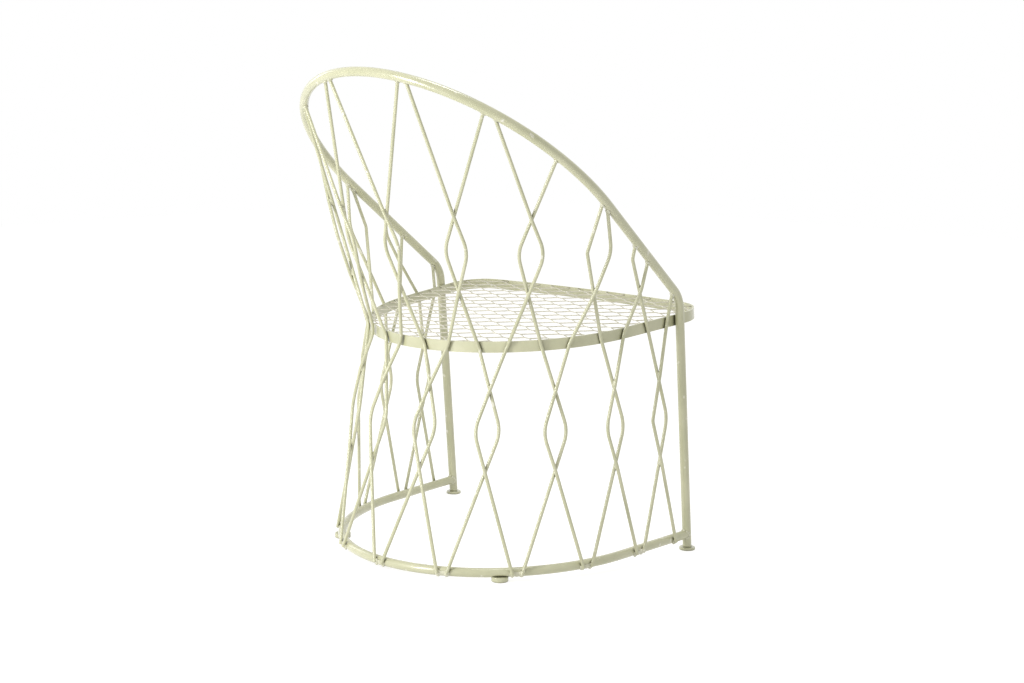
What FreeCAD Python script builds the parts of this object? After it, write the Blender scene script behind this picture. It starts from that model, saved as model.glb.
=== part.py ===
import FreeCAD, Part
import math
import os

from FreeCAD import Placement, Rotation, Vector

# Frame: millimetres, Z up, the sitter faces -Y, the sitter's right side is -X.
# Arc lengths along a rail start at the middle of the back and are positive towards the right side.
UP = Vector(0, 0, 1)
SIDEWAYS = Vector(1, 0, 0)

# Stock
TUBE_RADIUS = 8.0
WIRE_RADIUS = 3.0
BAND_HEIGHT = 19.0
BAND_THICKNESS = 3.0
WELD_GAP = 0.15

# Legs: half the distance between their axes, and their lean towards the back
LEG_HALF_SPACING = 297.5
LEG_LEAN = math.radians(5.1)
LEG_BEND_HEIGHT = 460.0
LEG_BEND_RADIUS = 50.0

# Rim of the back, in its own sloping plane
RIM_SLOPE = math.radians(38.75)
RIM = {"half_width": LEG_HALF_SPACING, "splay": 3.4, "straight": 275.0, "shoulder": 330.0, "turn": 25.5}

# Base ring, falling slightly towards the back
RING_HEIGHT_AT_LEGS = 28.8
RING_HEIGHT_AT_BACK = 11.8
RING = {"half_width": LEG_HALF_SPACING, "splay": -2.7, "straight": 173.0, "shoulder": 322.0, "turn": 42.0}

# Seat band, falling towards the back
SEAT_FRONT = -52.5
SEAT_FRONT_HEIGHT = 427.4
SEAT_SLOPE = math.radians(5.43)
SEAT_CORNER_RADIUS = 62.0
SEAT_FRONT_BOW = 10.0
SEAT = {"half_width": 295.6, "splay": -5.5, "straight": 211.0, "shoulder": 256.0, "turn": 54.0}

# Expanded metal of the seat
MESH_LONG_WAY = 70.0
MESH_SHORT_WAY = 33.0
MESH_STRAND = 3.0
MESH_BOND = 9.0
MESH_THICKNESS = 2.4
MESH_RIM = 2.2

# Feet
FOOT_RADIUS = 14.5
FRONT_FOOT_HEIGHT = 5.0
REAR_FOOT_HEIGHT = 8.6
FOOT_EDGE_RADIUS = 1.4
REAR_FOOT_REACH = 384.0

# Lattice: columns of wire pairs, counted from the middle of the back
RING_COLUMNS = (0.0, 125.5, 249.5, 372.0, 491.0, 593.0)
RIM_COLUMNS = (0.0, 175.0, 345.0, 508.0, 646.0, 770.0)
BAND_PITCH = 104.5
PAIR_HALF_SPACING = 9.0
BAND_CROSSING = 0.27
LOWER_EYE_HEIGHT = 250.0
UPPER_EYE_HEIGHT = 553.0
EYE_HALF_WIDTH = 22.0
HIGHEST_EYE_SHARE = 0.8
EYE_BEND_RADIUS = 60.0
SLIGHT_TURN = math.radians(30)
SLIGHT_BEND_RADIUS = 14.0
WIRE_TAIL = 4.0
LEAST_CURVED_DEPTH = 170.0

# Arc length along the rim at which each wire ends, by its column and its lean
RIM_ENDS = {
    (0, 1): 86.0,
    (1, -1): 99.0,
    (1, 1): 243.0,
    (2, -1): 259.0,
    (2, 1): 384.0,
    (3, 1): 503.0,
    (3, -1): 513.0,
    (4, 1): 622.0,
    (4, -1): 671.0,
    (5, -1): 768.0,
}
STRAIGHT_ABOVE_SEAT = ((4, -1), (5, -1))


def polar(centre, radius, angle):
    """Point of a circle in the XY plane; the angle is in radians from +X."""
    return centre + Vector(radius * math.cos(angle), radius * math.sin(angle), 0)


def mirrored(point):
    return Vector(-point.x, point.y, point.z)


def bow_half(bow):
    """Right half of a horseshoe outline in the XY plane, from its crest to its front end.

    The outline is a straight side, a shoulder arc and a crown arc centred on the Y axis, all tangent.
    """
    splay = math.radians(bow["splay"])
    turn = math.radians(bow["turn"])
    front = Vector(bow["half_width"], 0, 0)
    side_end = front + Vector(math.sin(splay), math.cos(splay), 0) * bow["straight"]
    shoulder_centre = side_end + Vector(-math.cos(splay), math.sin(splay), 0) * bow["shoulder"]
    shoulder_end = polar(shoulder_centre, bow["shoulder"], turn)
    crown_radius = shoulder_end.x / math.cos(turn)
    crown_centre = Vector(0, shoulder_end.y - crown_radius * math.sin(turn), 0)
    crest = polar(crown_centre, crown_radius, math.pi / 2)
    crown_middle = polar(crown_centre, crown_radius, (turn + math.pi / 2) / 2)
    shoulder_middle = polar(shoulder_centre, bow["shoulder"], (turn - splay) / 2)
    crown = Part.Arc(crest, mirrored(crown_middle), mirrored(shoulder_end)).toShape()
    shoulder = Part.Arc(mirrored(shoulder_end), mirrored(shoulder_middle), mirrored(side_end)).toShape()
    side = Part.makeLine(mirrored(side_end), mirrored(front))
    return [crown, shoulder, side]


def placed(edges, placement):
    """The edges, moved from the XY plane to where the placement puts that plane."""
    return [edge.transformed(placement.toMatrix()) for edge in edges]


def both_halves(edges):
    """One wire of a right half and its mirror image."""
    left = [edge.mirror(Vector(0, 0, 0), SIDEWAYS) for edge in edges]
    return Part.Wire(Part.__sortEdges__(list(edges) + left))


def rail_place(half, arc):
    """Point and unit tangent at a signed arc length along a rail."""
    distance = abs(arc)
    for edge in half:
        if distance <= edge.Length or edge is half[-1]:
            break
        distance -= edge.Length
    parameter = edge.getParameterByLength(min(distance, edge.Length))
    point = edge.valueAt(parameter)
    tangent = edge.tangentAt(parameter).normalize()
    if arc < 0:
        return mirrored(point), mirrored(tangent)
    return point, tangent


def outward(half, arc):
    """Level unit vector away from the inside of the chair, square to a rail."""
    _, tangent = rail_place(half, arc)
    level = tangent.cross(UP).normalize()
    return level * -1 if arc < 0 else level


def bent_path(points, radii):
    """Straight runs through the points, joined by tangent arcs at the inner points."""
    edges = []
    start = points[0]
    for before, corner, after, radius in zip(points, points[1:], points[2:], radii):
        incoming = (corner - before).normalize()
        outgoing = (after - corner).normalize()
        half_turn = incoming.getAngle(outgoing) / 2
        setback = radius * math.tan(half_turn)
        centre_way = (outgoing - incoming).normalize()
        centre = corner + centre_way * (radius / math.cos(half_turn))
        arc_start = corner - incoming * setback
        arc_end = corner + outgoing * setback
        edges.append(Part.makeLine(start, arc_start))
        edges.append(Part.Arc(arc_start, centre - centre_way * radius, arc_end).toShape())
        start = arc_end
    edges.append(Part.makeLine(start, points[-1]))
    return edges


def swept_round(path, radius):
    """Round bar of one radius along a wire of straight lines and arcs that are tangent."""
    first = path.OrderedEdges[0]
    start = path.OrderedVertexes[0].Point
    at_start = first.valueAt(first.FirstParameter).isEqual(start, 1e-6)
    parameter = first.FirstParameter if at_start else first.LastParameter
    section = Part.Wire(Part.Circle(start, first.tangentAt(parameter), radius).toShape())
    return path.makePipeShell([section], True, False)


def column_arc(columns, column):
    """Arc length of a whole or broken column number, read between the listed columns."""
    lower = min(int(abs(column)), len(columns) - 2)
    part = abs(column) - lower
    arc = columns[lower] + (columns[lower + 1] - columns[lower]) * part
    return arc if column >= 0 else -arc


# Planes and half rails
rim_corner = Vector(0, LEG_BEND_HEIGHT * math.tan(LEG_LEAN), LEG_BEND_HEIGHT)
rim_plane = Placement(rim_corner, Rotation(SIDEWAYS, math.degrees(RIM_SLOPE)))
rim_flat = bow_half(RIM)
rim_half = placed(rim_flat, rim_plane)

ring_flat = bow_half(RING)
ring_length = ring_flat[0].valueAt(ring_flat[0].FirstParameter).y
ring_slope = math.asin((RING_HEIGHT_AT_LEGS - RING_HEIGHT_AT_BACK) / ring_length)
ring_front = Vector(0, RING_HEIGHT_AT_LEGS * math.tan(LEG_LEAN), RING_HEIGHT_AT_LEGS)
ring_plane = Placement(ring_front, Rotation(SIDEWAYS, -math.degrees(ring_slope)))
ring_half = placed(ring_flat, ring_plane)

seat_plane = Placement(Vector(0, SEAT_FRONT, SEAT_FRONT_HEIGHT), Rotation(SIDEWAYS, -math.degrees(SEAT_SLOPE)))
seat_flat = bow_half(SEAT)
seat_half = placed(seat_flat, seat_plane)


def rim_and_leg_path():
    """Whole path of the bent tube: leg, bend, rim, bend, leg."""
    crown, shoulder, side = rim_half
    rim_start = side.valueAt(side.FirstParameter)
    corner = side.valueAt(side.LastParameter)
    below_floor = Vector(corner.x, -TUBE_RADIUS * math.tan(LEG_LEAN), -TUBE_RADIUS)
    right = [crown, shoulder] + bent_path([rim_start, corner, below_floor], [LEG_BEND_RADIUS])
    return both_halves(right)


def seat_outline():
    """Closed D outline of the seat band's middle line, flat in the XY plane."""
    crown, shoulder, side = seat_flat
    side_back = side.valueAt(side.FirstParameter)
    side_front = side.valueAt(side.LastParameter)
    inwards = (side_back - side_front).normalize()
    corner_turn = math.pi / 2 - math.radians(SEAT["splay"])
    corner_start = side_front + inwards * (SEAT_CORNER_RADIUS * math.tan(corner_turn / 2))
    corner_centre = corner_start + Vector(inwards.y, -inwards.x, 0) * SEAT_CORNER_RADIUS
    corner_end = corner_centre + Vector(0, -SEAT_CORNER_RADIUS, 0)
    middle_way = (side_front - corner_centre).normalize()
    corner = Part.Arc(corner_start, corner_centre + middle_way * SEAT_CORNER_RADIUS, corner_end).toShape()
    run = Part.makeLine(side_back, corner_start)
    back_and_sides = [crown, shoulder, run, corner]
    left = [edge.mirror(Vector(0, 0, 0), SIDEWAYS) for edge in back_and_sides]
    front_middle = Vector(0, corner_end.y - SEAT_FRONT_BOW, 0)
    front = Part.Arc(corner_end, front_middle, mirrored(corner_end)).toShape()
    return Part.Wire(Part.__sortEdges__(back_and_sides + left + [front]))


def back_hoop():
    tube = swept_round(rim_and_leg_path(), TUBE_RADIUS)
    reach = 4 * LEG_HALF_SPACING
    below = Part.makeBox(reach, reach, reach, Vector(-reach / 2, -reach / 2, FRONT_FOOT_HEIGHT - reach))
    return tube.cut(below)


def base_ring(tube_space):
    return swept_round(both_halves(ring_half), TUBE_RADIUS).cut(tube_space)


def seat_band():
    outline = seat_outline()
    outer = Part.Face(outline.makeOffset2D(BAND_THICKNESS / 2))
    inner = Part.Face(outline.makeOffset2D(-BAND_THICKNESS / 2))
    band = outer.cut(inner).extrude(UP * BAND_HEIGHT)
    band.translate(UP * (-BAND_HEIGHT / 2))
    return band.transformed(seat_plane.toMatrix())


def mesh_hole(centre):
    """Opening of the expanded metal: a diamond whose top and bottom are cut flat along the bonds."""
    half_long = MESH_LONG_WAY / 2 - MESH_STRAND
    half_short = MESH_SHORT_WAY / 2 - MESH_STRAND / 2
    half_bond = MESH_BOND / 2
    corners = [
        Vector(half_long, 0, 0),
        Vector(half_bond, half_short, 0),
        Vector(-half_bond, half_short, 0),
        Vector(-half_long, 0, 0),
        Vector(-half_bond, -half_short, 0),
        Vector(half_bond, -half_short, 0),
    ]
    outline = [centre + corner for corner in corners]
    return Part.Face(Part.makePolygon(outline + outline[:1]))


def seat_mesh():
    outline = seat_outline()
    plate = Part.Face(outline.makeOffset2D(-BAND_THICKNESS / 2 - WELD_GAP))
    open_area = Part.Face(outline.makeOffset2D(-BAND_THICKNESS / 2 - WELD_GAP - MESH_RIM))
    bounds = open_area.BoundBox
    rows = int(bounds.YLength / MESH_SHORT_WAY * 2) + 2
    places = int(bounds.XLength / MESH_LONG_WAY / 2) + 2
    holes = []
    for row in range(rows):
        shift = MESH_LONG_WAY / 2 if row % 2 else 0.0
        for place in range(-places, places + 1):
            centre = Vector(place * MESH_LONG_WAY + shift, bounds.YMin + row * MESH_SHORT_WAY / 2, 0)
            hole = mesh_hole(centre).common(open_area)
            if hole.Area > MESH_STRAND * MESH_STRAND:
                holes.append(hole)
    net = plate.cut(Part.Compound(holes)).extrude(UP * MESH_THICKNESS)
    net.translate(UP * (-MESH_THICKNESS / 2))
    return net.transformed(seat_plane.toMatrix())


def foot(height):
    """Round foot standing on the floor at the origin, with softened edges."""
    disc = Part.makeCylinder(FOOT_RADIUS, height)
    rims = [edge for edge in disc.Edges if edge.Curve.TypeId == "Part::GeomCircle"]
    return disc.makeFillet(FOOT_EDGE_RADIUS, rims)


def rear_foot_place():
    """Place under the base ring's right half at the rear foot's distance from the front."""
    low, high = 0.0, sum(edge.Length for edge in ring_half)
    for _ in range(40):
        middle = (low + high) / 2
        if rail_place(ring_half, middle)[0].y > REAR_FOOT_REACH:
            low = middle
        else:
            high = middle
    point, _ = rail_place(ring_half, low)
    return Vector(point.x, point.y, 0)


def on_lower_side(column, height):
    """Point of the skin between ring and band, at a height."""
    ring_arc = column_arc(RING_COLUMNS, column)
    ring_point = rail_place(ring_half, ring_arc)[0] + outward(ring_half, ring_arc) * (TUBE_RADIUS + WIRE_RADIUS)
    band_point = on_band(column)
    return ring_point + (band_point - ring_point) * ((height - ring_point.z) / (band_point.z - ring_point.z))


def on_band(column):
    """Point of the skin where a wire lies on the outer face of the seat band."""
    arc = column * BAND_PITCH
    lift = BAND_THICKNESS / 2 + WIRE_RADIUS + WELD_GAP
    return rail_place(seat_half, arc)[0] + outward(seat_half, arc) * lift


def on_upper_side(column, height):
    """Point of the skin between band and rim, at a height."""
    band_point = on_band(column)
    rim_point = rail_place(rim_half, column_arc(RIM_COLUMNS, column))[0]
    return band_point + (rim_point - band_point) * ((height - band_point.z) / (rim_point.z - band_point.z))


def eye_corner(skin, column, height, shift):
    """Corner of a wire at an eye: past the eye's middle column by a shift along the skin."""
    step = 0.1
    along = (skin(column + step, height) - skin(column - step, height)).normalize()
    return skin(column, height) + along * shift


def wire_corners(column, lean):
    """Corners of one wire of the right side, all on the skin, from the ring to the rim."""
    lower = eye_corner(on_lower_side, column + lean / 2, LOWER_EYE_HEIGHT, lean * EYE_HALF_WIDTH)
    ring_arc = column_arc(RING_COLUMNS, column) + lean * PAIR_HALF_SPACING
    ring_point, ring_way = rail_place(ring_half, ring_arc)
    off_tube = ring_way.cross(lower - ring_point).normalize()
    if off_tube.dot(outward(ring_half, ring_arc)) < 0:
        off_tube = off_tube * -1
    seat_on_ring = ring_point + off_tube * (TUBE_RADIUS + WIRE_RADIUS + WELD_GAP)
    tail = seat_on_ring - (lower - seat_on_ring).normalize() * WIRE_TAIL
    band = on_band(column + lean * BAND_CROSSING)
    rim = rail_place(rim_half, RIM_ENDS[(column, lean)])[0]
    if (column, lean) in STRAIGHT_ABOVE_SEAT:
        return [tail, lower, band, rim]
    height = min(UPPER_EYE_HEIGHT, band.z + (rim.z - band.z) * HIGHEST_EYE_SHARE)
    upper = eye_corner(on_upper_side, column, height, -lean * EYE_HALF_WIDTH)
    return [tail, lower, band, upper, rim]


def neighbours(column, lean):
    """Corners of the two wires that a wire crosses, below the seat and above it."""
    below = (column + lean, -lean)
    above = (column, -lean)
    lower = wire_corners(*below) if below in RIM_ENDS else None
    if above in RIM_ENDS:
        return lower, wire_corners(*above)
    return lower, [mirrored(corner) for corner in wire_corners(column, lean)] if column == 0 else None


def crossing(start, end, under_start, under_end):
    """Point over the place where one straight run crosses another, or None if they don't cross."""
    run = end - start
    under = under_end - under_start
    off = run.cross(under)
    if off.Length < 1e-9:
        return None
    off.normalize()
    between = under_start - start
    share = between.cross(under).dot(off) / run.cross(under).dot(off)
    under_share = between.cross(run).dot(off) / run.cross(under).dot(off)
    if not (0 < share < 1 and 0 < under_share < 1):
        return None
    below = under_start + under * under_share
    away = off if off.dot(below - Vector(0, below.y / 2, below.z)) > 0 else off * -1
    return below + away * (2 * WIRE_RADIUS + WELD_GAP)


def lifted(corner):
    """A corner moved off the skin by the thickness of the wire beneath."""
    away = Vector(corner.x, corner.y - LEAST_CURVED_DEPTH, 0).normalize()
    return corner + away * (2 * WIRE_RADIUS + WELD_GAP)


def outer_corners(column, lean):
    """Corners of a wire of the outer layer, which bends over the wires that it crosses."""
    corners = wire_corners(column, lean)
    lower, upper = neighbours(column, lean)
    points = [corners[0]]
    for number, (start, end) in enumerate(zip(corners, corners[1:])):
        other = lower if number < 2 else upper
        over = None
        if other and number + 1 < len(other):
            over = crossing(start, end, other[number], other[number + 1])
        if over:
            points.append(over)
        points.append(lifted(end) if number in (0, 2) and number + 2 < len(corners) else end)
    return points


def bend_radius(before, corner, after):
    """Free bends keep one radius, and the slight bends over a wire or the band a tighter one."""
    turn = (corner - before).getAngle(after - corner)
    return EYE_BEND_RADIUS if turn > SLIGHT_TURN else SLIGHT_BEND_RADIUS


def lattice_wire(column, lean, outer, tube_space):
    """One wire of the right side, from the base ring to the rim."""
    points = outer_corners(column, lean) if outer else wire_corners(column, lean)
    radii = [bend_radius(*three) for three in zip(points, points[1:], points[2:])]
    path = Part.Wire(bent_path(points, radii))
    return swept_round(path, WIRE_RADIUS).cut(tube_space)


def make_nodes():
    tube_space = swept_round(rim_and_leg_path(), TUBE_RADIUS + WELD_GAP)
    ring_space = swept_round(both_halves(ring_half), TUBE_RADIUS + WELD_GAP)
    nodes = {"back_hoop": back_hoop()}
    nodes["base_ring"] = base_ring(tube_space)
    nodes["seat_band"] = seat_band()
    nodes["seat_mesh"] = seat_mesh()
    for side in ("right", "left"):
        for column, lean in sorted(RIM_ENDS):
            outer = (lean < 0) == (side == "right")
            wire = lattice_wire(column, lean, outer, tube_space)
            if side == "left":
                wire = wire.mirror(Vector(0, 0, 0), SIDEWAYS)
            way = "forward" if lean > 0 else "rearward"
            nodes[f"lattice_{side}_{column}_{way}"] = wire
    front_place = Vector(-LEG_HALF_SPACING, FRONT_FOOT_HEIGHT * math.tan(LEG_LEAN), 0)
    feet = {"front": (front_place, foot(FRONT_FOOT_HEIGHT))}
    feet["rear"] = (rear_foot_place(), foot(REAR_FOOT_HEIGHT))
    for end, (place, disc) in feet.items():
        for side in ("right", "left"):
            point = place if side == "right" else mirrored(place)
            piece = disc.copy()
            piece.translate(point)
            nodes[f"{end}_{side}_foot"] = piece.cut(ring_space) if end == "rear" else piece
    return nodes


def centred(nodes):
    """Moves all nodes so that the middle of the chair's depth is on the origin."""
    front_and_back = Part.Compound([nodes["seat_band"], nodes["back_hoop"]])
    bounds = front_and_back.optimalBoundingBox(False, False)
    shift = Vector(0, -(bounds.YMin + bounds.YMax) / 2, 0)
    for shape in nodes.values():
        shape.translate(shift)
    return nodes


os.makedirs("parts", exist_ok=True)
for node, shape in centred(make_nodes()).items():
    solid = shape.Solids[0] if len(shape.Solids) == 1 else shape
    print(node, len(shape.Solids), shape.isValid(), round(shape.Volume), len(shape.Faces))
    solid.exportStep(f"parts/{node}.step")
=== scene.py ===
import math

import bpy
from mathutils import Matrix, Vector
from mathutils.bvhtree import BVHTree
from mathutils.noise import noise


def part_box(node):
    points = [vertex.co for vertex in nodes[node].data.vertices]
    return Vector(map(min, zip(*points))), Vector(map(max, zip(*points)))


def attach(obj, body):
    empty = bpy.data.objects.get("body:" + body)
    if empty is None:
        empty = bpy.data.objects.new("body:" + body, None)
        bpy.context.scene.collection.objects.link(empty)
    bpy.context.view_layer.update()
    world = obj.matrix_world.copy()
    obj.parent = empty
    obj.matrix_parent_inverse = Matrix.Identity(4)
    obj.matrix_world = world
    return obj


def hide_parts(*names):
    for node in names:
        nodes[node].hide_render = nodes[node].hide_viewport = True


# Metres, Z up. The sitter faces -Y and the sitter's right side is -X.

# The photograph's view, with the sensor in millimetres and angles in radians
PHOTO_WIDTH = 1024
FOCAL_LENGTH_PIXELS = 1790.1
SENSOR_WIDTH = 36.0
CAMERA_PLACE = Vector((-2.2057, 2.2600, 0.8610))
CAMERA_AZIMUTH = 3.89679
CAMERA_PITCH = 0.15458
CAMERA_ROLL = 0.00941

# Light of the world on the object, and each lamp's place, size and watts
WORLD_LIGHT = 0.60
LAMP_TARGET = (0, 0, 0.4)
LAMPS = {
    "top": ((0, 0, 2.6), (0.7, 0.7), 15.0),
    "back": ((0.2, 1.5, 0.7), (0.35, 0.9), 13.0),
    "left": ((2.4, 0.3, 1.2), (0.6, 1.2), 4.0),
}

# Floor: its white as it lights the object, and its shaded and glowing parts as it is seen
FLOOR_HALF_SIDE = 6.0
FLOOR_WHITE = (0.90, 0.90, 0.90, 1)
FLOOR_SHADED = (0.42, 0.42, 0.42, 1)
FLOOR_GLOW = (1.0, 0.99, 0.98, 1)
FLOOR_GLOW_STRENGTH = 0.80

# Paint colours: the paler tone, the deeper tone and the painted shade and dirt laid into the
# corners
WHITE = (1, 1, 1, 1)
BLACK = (0, 0, 0, 1)
# Dark olive-brown laid where occlusion finds nearby parts: painted shade at contacts and joints,
# with some dirt
SHADE_AND_DIRT = (0.10, 0.095, 0.045, 1)
FRAME_TONES = ((0.62, 0.61, 0.41, 1), (0.52, 0.52, 0.325, 1), SHADE_AND_DIRT)
MESH_TONES = ((0.66, 0.63, 0.50, 1), (0.54, 0.51, 0.38, 1), SHADE_AND_DIRT)
WELD_TONES = ((0.72, 0.71, 0.55, 1), (0.60, 0.59, 0.42, 1), (0.36, 0.35, 0.22, 1))
SCUFF_TONE = (0.82, 0.80, 0.68, 1)
SCUFF_COVER = (0.8, 0.8, 0.8, 1)

# Paint surface: its roughness and the strength of its orange peel
FRAME_FINISH = (0.30, 0.03)
MESH_FINISH = (0.36, 0.05)
WELD_FINISH = (0.38, 0.10)
PEEL_HEIGHT = 0.0006
COAT_WEIGHT = 0.8
COAT_ROUGHNESS = 0.10
# How much the roughness goes down and up from place to place
SMOOTHER = 0.06
ROUGHER = 0.10

# Paint patterns: each noise's scale, detail and roughness, and the part of its range that shows
TONE_NOISE = (14.0, 4.0, 0.6)
PEEL_NOISE = (320.0, 3.0, 0.55)
SCUFF_NOISE = (55.0, 2.0, 0.5)
TONE_RANGE = (0.32, 0.66)
SCUFF_RANGE = (0.685, 0.74)
# Occlusion darkening, which lays painted shade and dirt into the corners: the part of its range
# that shows, its reach and its samples
SHADE_AND_DIRT_RANGE = (0.25, 0.75)
SHADE_AND_DIRT_REACH = 0.007
SHADE_AND_DIRT_SAMPLES = 8

# Expanded metal of the seat
SEAT_SLOPE = math.radians(5.43)
LONG_WAY = 0.070
SHORT_WAY = 0.033
BOND_LENGTH = 0.009
KNEE_LENGTH = 0.004
NET_RISE = 0.0072
EDGE_GAP = 0.0004
STRAND_WIDTH = 0.0034
STRAND_THICKNESS = 0.0014
STRAND_TILT = math.radians(24)
STRAND_STEP = 0.0015
STRAND_MIN_POINTS = 4
STRAND_SECTION = [
    (-1, -0.55), (-0.8, -1), (0.8, -1), (1, -0.55),
    (1, 0.55), (0.8, 1), (-0.8, 1), (-1, 0.55),
]
# Seat band: least cosine between an inner face's normal and the way to the middle
INNER_FACE = 0.5
ANGLE_DIGITS = 4

# Weld sizes: half the length, half the width and the height
RING_WELD = (0.0060, 0.0052, 0.0030)
RIM_WELD = (0.0050, 0.0050, 0.0030)
CROSSING_WELD = (0.0062, 0.0024, 0.0028)
SEAT_WELD = (0.0085, 0.0034, 0.0024)
SEAM_WELD = (0.0030, 0.0026, 0.0020)

# Weld places: how near two pieces lie at a weld, and how far its points spread
UP = Vector((0, 0, 1))
NEAR = 0.0020
SPOT_SPREAD = 0.012
SEAT_SPREAD = 0.024
SEAM_SPREAD = 0.004
# Least length of a place's summed normals that gives it a direction
CLEAR_DIRECTION = 0.1

# Pads of weld metal between the two wires of a pair
PAIR_REACH = 0.024
PAD_OVERHANG = 0.0045
PAD_HALF_WIDTH = 0.0046
PAD_HEIGHT = 0.0014

# Beads: rows and columns of their faces, and the depth, coarseness and variety of their lumps
BEAD_ROWS = 8
BEAD_COLUMNS = 14
LUMP_DEPTH = 0.30
LUMP_SCALE = 1.6
LUMP_VARIETY = 900

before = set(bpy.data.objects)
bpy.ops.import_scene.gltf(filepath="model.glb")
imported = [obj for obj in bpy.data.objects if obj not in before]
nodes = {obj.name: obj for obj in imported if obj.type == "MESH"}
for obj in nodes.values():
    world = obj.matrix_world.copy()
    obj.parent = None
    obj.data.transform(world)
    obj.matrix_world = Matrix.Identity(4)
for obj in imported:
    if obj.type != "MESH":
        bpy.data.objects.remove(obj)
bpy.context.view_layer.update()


def add_object(name, data):
    """New object with the data, linked to the scene."""
    added = bpy.data.objects.new(name, data)
    bpy.context.collection.objects.link(added)
    return added


def box_middle(corners):
    """Middle of a box, from its low and high corners."""
    low, high = [Vector(corner) for corner in corners]
    return (low + high) / 2


# Camera

def camera_axes(azimuth, pitch, roll):
    """Right, up and backward axes of a camera from its three angles."""
    back = Vector((
        math.sin(azimuth) * math.cos(pitch),
        -math.cos(azimuth) * math.cos(pitch),
        math.sin(pitch),
    ))
    right = Vector((math.cos(azimuth), math.sin(azimuth), 0))
    up = back.cross(right)
    turned_right = right * math.cos(roll) + up * math.sin(roll)
    turned_up = up * math.cos(roll) - right * math.sin(roll)
    return turned_right, turned_up, back


def make_camera():
    """Camera at the place, direction and focal length of the photograph."""
    data = bpy.data.cameras.new("camera")
    data.sensor_width = SENSOR_WIDTH
    data.lens = FOCAL_LENGTH_PIXELS / PHOTO_WIDTH * SENSOR_WIDTH
    camera = add_object("camera", data)
    axes = camera_axes(CAMERA_AZIMUTH, CAMERA_PITCH, CAMERA_ROLL)
    camera.matrix_world = Matrix.Translation(CAMERA_PLACE) @ Matrix(axes).transposed().to_4x4()
    bpy.context.scene.camera = camera


# Shader nodes

def empty_tree(owner):
    """Node tree of a material or world, with no nodes in it."""
    owner.use_nodes = True
    owner.node_tree.nodes.clear()
    return owner.node_tree


def add_node(tree, kind, values):
    """New node with the values of its inputs."""
    node = tree.nodes.new(kind)
    for name, value in values.items():
        node.inputs[name].default_value = value
    return node


def noise_pattern(tree, place, settings):
    """Output of a noise texture at a place, from its scale, detail and roughness."""
    values = dict(zip(("Scale", "Detail", "Roughness"), settings))
    node = add_node(tree, "ShaderNodeTexNoise", values)
    tree.links.new(place, node.inputs["Vector"])
    return node.outputs["Fac"]


def ramp(tree, share, positions, colours):
    """Output that goes from the first colour to the second between two positions of a share."""
    node = tree.nodes.new("ShaderNodeValToRGB")
    for element, position, colour in zip(node.color_ramp.elements, positions, colours):
        element.position = position
        element.color = colour
    tree.links.new(share, node.inputs["Fac"])
    return node.outputs["Color"]


def covered(tree, share, below, colour):
    """Output of one colour laid over another by a share."""
    node = tree.nodes.new("ShaderNodeMix")
    node.data_type = "RGBA"
    node.inputs["B"].default_value = colour
    tree.links.new(share, node.inputs["Factor"])
    tree.links.new(below, node.inputs["A"])
    return node.outputs["Result"]


def seen_directly(tree):
    """Output that is 1 for rays from the camera and for mirrored or transmitted ones, else 0."""
    rays = tree.nodes.new("ShaderNodeLightPath")
    output = rays.outputs["Is Camera Ray"]
    for kind in ("Is Glossy Ray", "Is Transmission Ray"):
        either = tree.nodes.new("ShaderNodeMath")
        either.operation = "MAXIMUM"
        tree.links.new(output, either.inputs[0])
        tree.links.new(rays.outputs[kind], either.inputs[1])
        output = either.outputs["Value"]
    return output


def lit_or_seen(tree, lit, seen):
    """Shader that is the first one as light on the object and the second one to look at."""
    node = tree.nodes.new("ShaderNodeMixShader")
    tree.links.new(seen_directly(tree), node.inputs["Fac"])
    tree.links.new(lit, node.inputs[1])
    tree.links.new(seen, node.inputs[2])
    return node.outputs["Shader"]


# Paint

def paint(name, tones, finish):
    """Satin paint on steel: uneven colour, painted shade and dirt in the corners, pale scuffs, a
    fine orange peel.
    """
    pale, deep, shade_and_dirt = tones
    roughness, peel = finish
    material = bpy.data.materials.new(name)
    tree = empty_tree(material)
    place = tree.nodes.new("ShaderNodeTexCoord").outputs["Object"]

    broad = noise_pattern(tree, place, TONE_NOISE)
    colour = ramp(tree, broad, TONE_RANGE, (deep, pale))
    # Painted shade and dirt: darker where occlusion finds nearby parts, as at wire contacts and
    # joints
    corner = add_node(tree, "ShaderNodeAmbientOcclusion", {"Distance": SHADE_AND_DIRT_REACH})
    corner.samples = SHADE_AND_DIRT_SAMPLES
    shade_and_dirt_share = ramp(tree, corner.outputs["AO"], SHADE_AND_DIRT_RANGE, (WHITE, BLACK))
    colour = covered(tree, shade_and_dirt_share, colour, shade_and_dirt)
    rubbed = noise_pattern(tree, place, SCUFF_NOISE)
    scuffed = ramp(tree, rubbed, SCUFF_RANGE, (BLACK, SCUFF_COVER))
    colour = covered(tree, scuffed, colour, SCUFF_TONE)

    span = {"To Min": roughness - SMOOTHER, "To Max": roughness + ROUGHER}
    shine = add_node(tree, "ShaderNodeMapRange", span)
    tree.links.new(broad, shine.inputs["Value"])
    bump = add_node(tree, "ShaderNodeBump", {"Strength": peel, "Distance": PEEL_HEIGHT})
    tree.links.new(noise_pattern(tree, place, PEEL_NOISE), bump.inputs["Height"])

    coat = {"Coat Weight": COAT_WEIGHT, "Coat Roughness": COAT_ROUGHNESS}
    surface = add_node(tree, "ShaderNodeBsdfPrincipled", coat)
    tree.links.new(colour, surface.inputs["Base Color"])
    tree.links.new(shine.outputs["Result"], surface.inputs["Roughness"])
    tree.links.new(bump.outputs["Normal"], surface.inputs["Normal"])
    out = tree.nodes.new("ShaderNodeOutputMaterial")
    tree.links.new(surface.outputs["BSDF"], out.inputs["Surface"])
    return material


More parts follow.
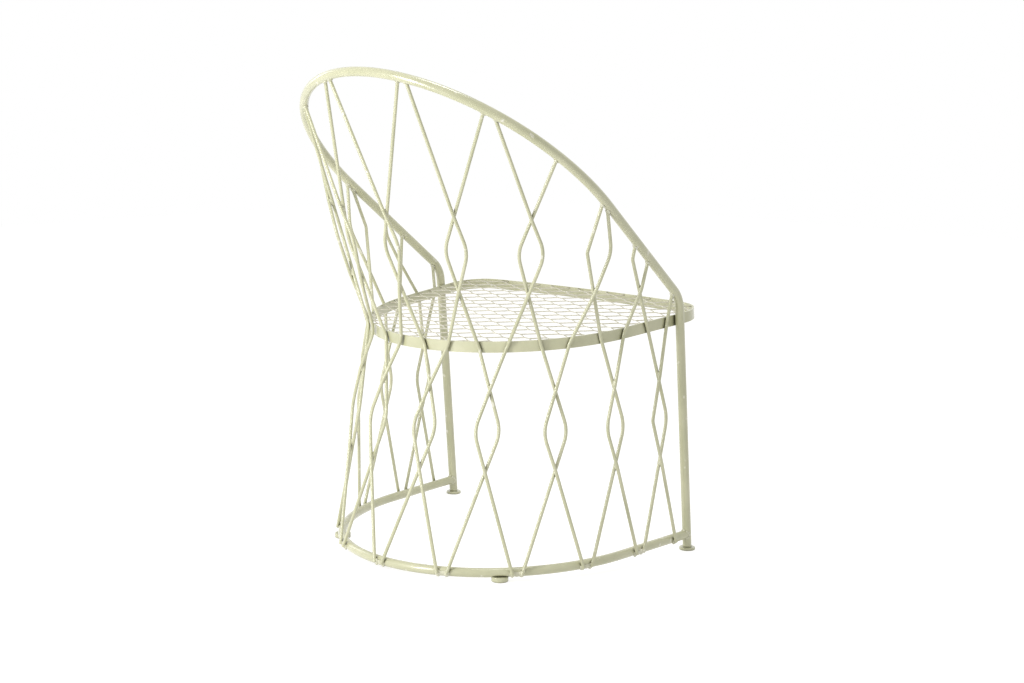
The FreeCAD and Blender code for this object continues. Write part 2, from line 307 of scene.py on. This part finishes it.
def dress():
    """Paints the CAD nodes, and gives the paints of the welds and of the seat net."""
    frame_paint = paint("sage_paint", FRAME_TONES, FRAME_FINISH)
    mesh_paint = paint("sage_mesh_paint", MESH_TONES, MESH_FINISH)
    weld_paint = paint("sage_weld_paint", WELD_TONES, WELD_FINISH)
    for name, node in nodes.items():
        for slot in node.material_slots:
            slot.material = mesh_paint if name == "seat_mesh" else frame_paint
    return weld_paint, mesh_paint


def mesh_object(name, points, faces, material):
    """Shaded object of the part from points and faces, riding on the one body."""
    mesh = bpy.data.meshes.new(name)
    mesh.from_pydata([tuple(point) for point in points], [], faces)
    mesh.validate()
    mesh.update()
    mesh.shade_smooth()
    mesh.materials.append(material)
    piece = add_object(name, mesh)
    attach(piece, "root")
    return piece


# Seat net

def band_inside(band, flat):
    """Inner outline of the seat band in the seat's own plane: angles and distances, in order."""
    middle = box_middle(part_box("seat_band"))
    found = {}
    for face in band.data.polygons:
        inwards = middle - face.center
        inwards.z = 0
        if face.normal.dot(inwards.normalized()) < INNER_FACE:
            continue
        for index in face.vertices:
            point = flat @ band.data.vertices[index].co
            angle = math.atan2(point.y, point.x)
            found[round(angle, ANGLE_DIGITS)] = (angle, math.hypot(point.x, point.y))
    return [found[key] for key in sorted(found)]


def reach_at(outline, angle):
    """Distance from the middle to a closed outline of (angle, distance) points, at an angle."""
    before = (outline[-1][0] - math.tau, outline[-1][1])
    after = (outline[0][0] + math.tau, outline[0][1])
    ring = [before] + outline + [after]
    for (low, near), (high, far) in zip(ring, ring[1:]):
        if low <= angle <= high and high > low:
            start = Vector((math.cos(low), math.sin(low))) * near
            end = Vector((math.cos(high), math.sin(high))) * far
            way = Vector((math.cos(angle), math.sin(angle)))
            run = end - start
            across = way.x * run.y - way.y * run.x
            return (start.x * run.y - start.y * run.x) / across
    return 0.0


def zigzag(x):
    """Share, 0 to 1, of the way from one row of bonds to the next, at a distance along a strand."""
    phase = abs((x / LONG_WAY) % 1.0 * 2 - 1) * LONG_WAY / 2
    slope_start = BOND_LENGTH / 2
    slope_end = LONG_WAY / 2 - BOND_LENGTH / 2
    share = (phase - slope_start) / (slope_end - slope_start)
    knee = KNEE_LENGTH / (slope_end - slope_start)
    if share < -knee or share > 1 + knee:
        return min(max(share, 0.0), 1.0)
    if share < knee:
        return (share + knee) ** 2 / (4 * knee)
    if share > 1 - knee:
        return 1 - (1 + knee - share) ** 2 / (4 * knee)
    return share


def add_strand(points, faces, run, section, place):
    """Adds one swept strand with closed ends."""
    first = len(points)
    count = len(section)
    for centre in run:
        points.extend(place @ (centre + offset) for offset in section)
    for ring in range(len(run) - 1):
        start = first + ring * count
        for side in range(count):
            after = (side + 1) % count
            faces.append((start + side, start + after, start + count + after, start + count + side))
    last = first + (len(run) - 1) * count
    faces.append(tuple(first + side for side in reversed(range(count))))
    faces.append(tuple(last + side for side in range(count)))


def seat_net(material):
    """Expanded metal: tilted zigzag strands side by side, joined where they meet."""
    tilt = Matrix.Rotation(-SEAT_SLOPE, 4, "X")
    middle = box_middle(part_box("seat_mesh"))
    place = Matrix.Translation(middle) @ tilt @ Matrix.Translation((0, 0, NET_RISE))
    outline = band_inside(nodes["seat_band"], place.inverted())
    reach = max(distance for _, distance in outline)
    across = Vector((0, math.cos(STRAND_TILT), math.sin(STRAND_TILT))) * (STRAND_WIDTH / 2)
    through = Vector((0, -math.sin(STRAND_TILT), math.cos(STRAND_TILT))) * (STRAND_THICKNESS / 2)
    section = [across * wide + through * high for wide, high in STRAND_SECTION]
    rows = int(reach / SHORT_WAY * 2) + 1
    steps = int(reach / STRAND_STEP)
    points, faces = [], []
    for row in range(-rows, rows):
        base = row * SHORT_WAY / 2
        shift = LONG_WAY / 2 if row % 2 else 0.0
        run = []
        for step in range(-steps, steps + 1):
            x = step * STRAND_STEP
            share = zigzag(x + shift)
            centre = Vector((x, base + share * SHORT_WAY / 2, 0)) + across * (1 - 2 * share)
            angle = math.atan2(centre.y, centre.x)
            inside = math.hypot(centre.x, centre.y) < reach_at(outline, angle) - EDGE_GAP
            if inside:
                run.append(centre)
            if run and (not inside or step == steps):
                if len(run) >= STRAND_MIN_POINTS:
                    add_strand(points, faces, run, section, place)
                run = []
    return mesh_object("seat_net", points, faces, material)


# Welds

def surface_tree(node):
    """World points of a CAD node, and a search tree of its surface."""
    points = [node.matrix_world @ vertex.co for vertex in node.data.vertices]
    faces = [tuple(face.vertices) for face in node.data.polygons]
    return points, BVHTree.FromPolygons(points, faces)


def touching(points, tree, spread):
    """Middles and surface normals of the places where some of the points lie close to a surface."""
    groups = []
    for point in points:
        spot, normal, _, _ = tree.find_nearest(point, NEAR)
        if spot is None:
            continue
        near = [group for group in groups if (group[0][0] - spot).length < spread]
        if near:
            near[0].append((spot, normal))
        else:
            groups.append([(spot, normal)])
    places = []
    for group in groups:
        middle = sum((spot for spot, _ in group), Vector()) / len(group)
        away = sum((normal for _, normal in group), Vector())
        if away.length > CLEAR_DIRECTION:
            places.append((middle, away.normalized()))
    return places


def apart(places, spread):
    """The places without those that lie close to an earlier one."""
    kept = []
    for middle, away in places:
        if all((middle - other).length > spread for other, _ in kept):
            kept.append((middle, away))
    return kept


def add_bead(points, faces, middle, long_way, away, size):
    """Adds one lumpy bead of weld metal that lies on a surface."""
    half_long, half_wide, height = size
    long_way = (long_way - away * long_way.dot(away)).normalized()
    side_way = away.cross(long_way)
    first = len(points)
    for row in range(BEAD_ROWS + 1):
        tilt = math.pi * row / BEAD_ROWS
        girth = math.sin(tilt)
        for column in range(BEAD_COLUMNS):
            turn = math.tau * column / BEAD_COLUMNS
            way = Vector((math.cos(tilt), girth * math.cos(turn), girth * math.sin(turn)))
            lump = 1 + LUMP_DEPTH * noise(way * LUMP_SCALE + middle * LUMP_VARIETY)
            sideways = long_way * (way.x * half_long) + side_way * (way.y * half_wide)
            points.append(middle + (sideways + away * (way.z * height)) * lump)
            if row in (0, BEAD_ROWS):
                break
    ring_start = first + 1
    last_ring = ring_start + (BEAD_ROWS - 2) * BEAD_COLUMNS
    tip = len(points) - 1
    following = [(column + 1) % BEAD_COLUMNS for column in range(BEAD_COLUMNS)]
    for column, after in enumerate(following):
        faces.append((first, ring_start + column, ring_start + after))
    for start in range(ring_start, last_ring, BEAD_COLUMNS):
        below = start + BEAD_COLUMNS
        for column, after in enumerate(following):
            faces.append((start + column, below + column, below + after, start + after))
    for column, after in enumerate(following):
        faces.append((last_ring + column, tip, last_ring + after))


def add_pads(points, faces, places):
    """Adds a flat pad of weld metal along the ring between the two wires of each pair."""
    for number, (middle, away) in enumerate(places):
        for other, other_away in places[number + 1:]:
            run = other - middle
            if run.length < PAIR_REACH:
                size = (run.length / 2 + PAD_OVERHANG, PAD_HALF_WIDTH, PAD_HEIGHT)
                outwards = (away + other_away).normalized()
                add_bead(points, faces, (middle + other) / 2, run, outwards, size)


def welds(material):
    """Weld metal where wires meet the ring, the rim and each other, and at the frame's joints."""
    points, faces = [], []
    solids = {name: surface_tree(node) for name, node in nodes.items() if name != "seat_mesh"}
    wires = sorted(name for name in solids if name.startswith("lattice"))
    on_ring = []
    for name in wires:
        wire_points = solids[name][0]
        ring_places = touching(wire_points, solids["base_ring"][1], SPOT_SPREAD)
        on_ring += ring_places
        for middle, away in ring_places:
            add_bead(points, faces, middle, UP, away, RING_WELD)
        for middle, away in touching(wire_points, solids["back_hoop"][1], SPOT_SPREAD):
            add_bead(points, faces, middle, UP, away, RIM_WELD)
    add_pads(points, faces, on_ring)
    crossings = []
    for name in wires:
        for other in wires:
            if name != other:
                crossings += touching(solids[name][0], solids[other][1], SPOT_SPREAD)
    for middle, away in apart(crossings, SPOT_SPREAD):
        add_bead(points, faces, middle, UP, away, CROSSING_WELD)
    for middle, away in touching(solids["seat_band"][0], solids["back_hoop"][1], SEAT_SPREAD):
        add_bead(points, faces, middle, UP, away, SEAT_WELD)
    for middle, away in touching(solids["base_ring"][0], solids["back_hoop"][1], SEAM_SPREAD):
        add_bead(points, faces, middle, UP.cross(away), away, SEAM_WELD)
    return mesh_object("weld_metal", points, faces, material)


# Studio

def area_light(name, place, size, power):
    """Rectangular lamp that points at the chair."""
    data = bpy.data.lights.new(name, "AREA")
    data.shape = "RECTANGLE"
    data.size, data.size_y = size
    data.energy = power
    aim = (Vector(place) - Vector(LAMP_TARGET)).to_track_quat("Z", "Y").to_matrix().to_4x4()
    add_object(name, data).matrix_world = Matrix.Translation(place) @ aim


def make_world():
    """White to look at, and a softer white as the light on the object."""
    world = bpy.data.worlds.new("studio")
    bpy.context.scene.world = world
    tree = empty_tree(world)
    lit = add_node(tree, "ShaderNodeBackground", {"Color": WHITE, "Strength": WORLD_LIGHT})
    seen = add_node(tree, "ShaderNodeBackground", {"Color": WHITE, "Strength": 1.0})
    out = tree.nodes.new("ShaderNodeOutputWorld")
    both = lit_or_seen(tree, lit.outputs["Background"], seen.outputs["Background"])
    tree.links.new(both, out.inputs["Surface"])


def floor_material():
    """Matt white that glows enough to look white and still keeps a faint shadow."""
    material = bpy.data.materials.new("floor")
    tree = empty_tree(material)
    matt = add_node(tree, "ShaderNodeBsdfDiffuse", {"Color": FLOOR_WHITE})
    shaded = add_node(tree, "ShaderNodeBsdfDiffuse", {"Color": FLOOR_SHADED})
    glow_values = {"Color": FLOOR_GLOW, "Strength": FLOOR_GLOW_STRENGTH}
    glow = add_node(tree, "ShaderNodeEmission", glow_values)
    glowing = tree.nodes.new("ShaderNodeAddShader")
    tree.links.new(shaded.outputs["BSDF"], glowing.inputs[0])
    tree.links.new(glow.outputs["Emission"], glowing.inputs[1])
    out = tree.nodes.new("ShaderNodeOutputMaterial")
    both = lit_or_seen(tree, matt.outputs["BSDF"], glowing.outputs["Shader"])
    tree.links.new(both, out.inputs["Surface"])
    return material


def make_studio():
    """White surroundings, floor and lamps, which aren't part of the chair."""
    make_world()
    side = FLOOR_HALF_SIDE
    corners = [(-side, -side, 0), (side, -side, 0), (side, side, 0), (-side, side, 0)]
    mesh = bpy.data.meshes.new("floor")
    mesh.from_pydata(corners, [], [(0, 1, 2, 3)])
    mesh.materials.append(floor_material())
    floor = add_object("floor", mesh)
    for name, (place, size, power) in LAMPS.items():
        area_light(name, place, size, power)


bpy.context.scene.view_settings.view_transform = "Standard"
make_camera()
make_studio()
weld_paint, mesh_paint = dress()
net = seat_net(mesh_paint)
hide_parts("seat_mesh")
welds(weld_paint)
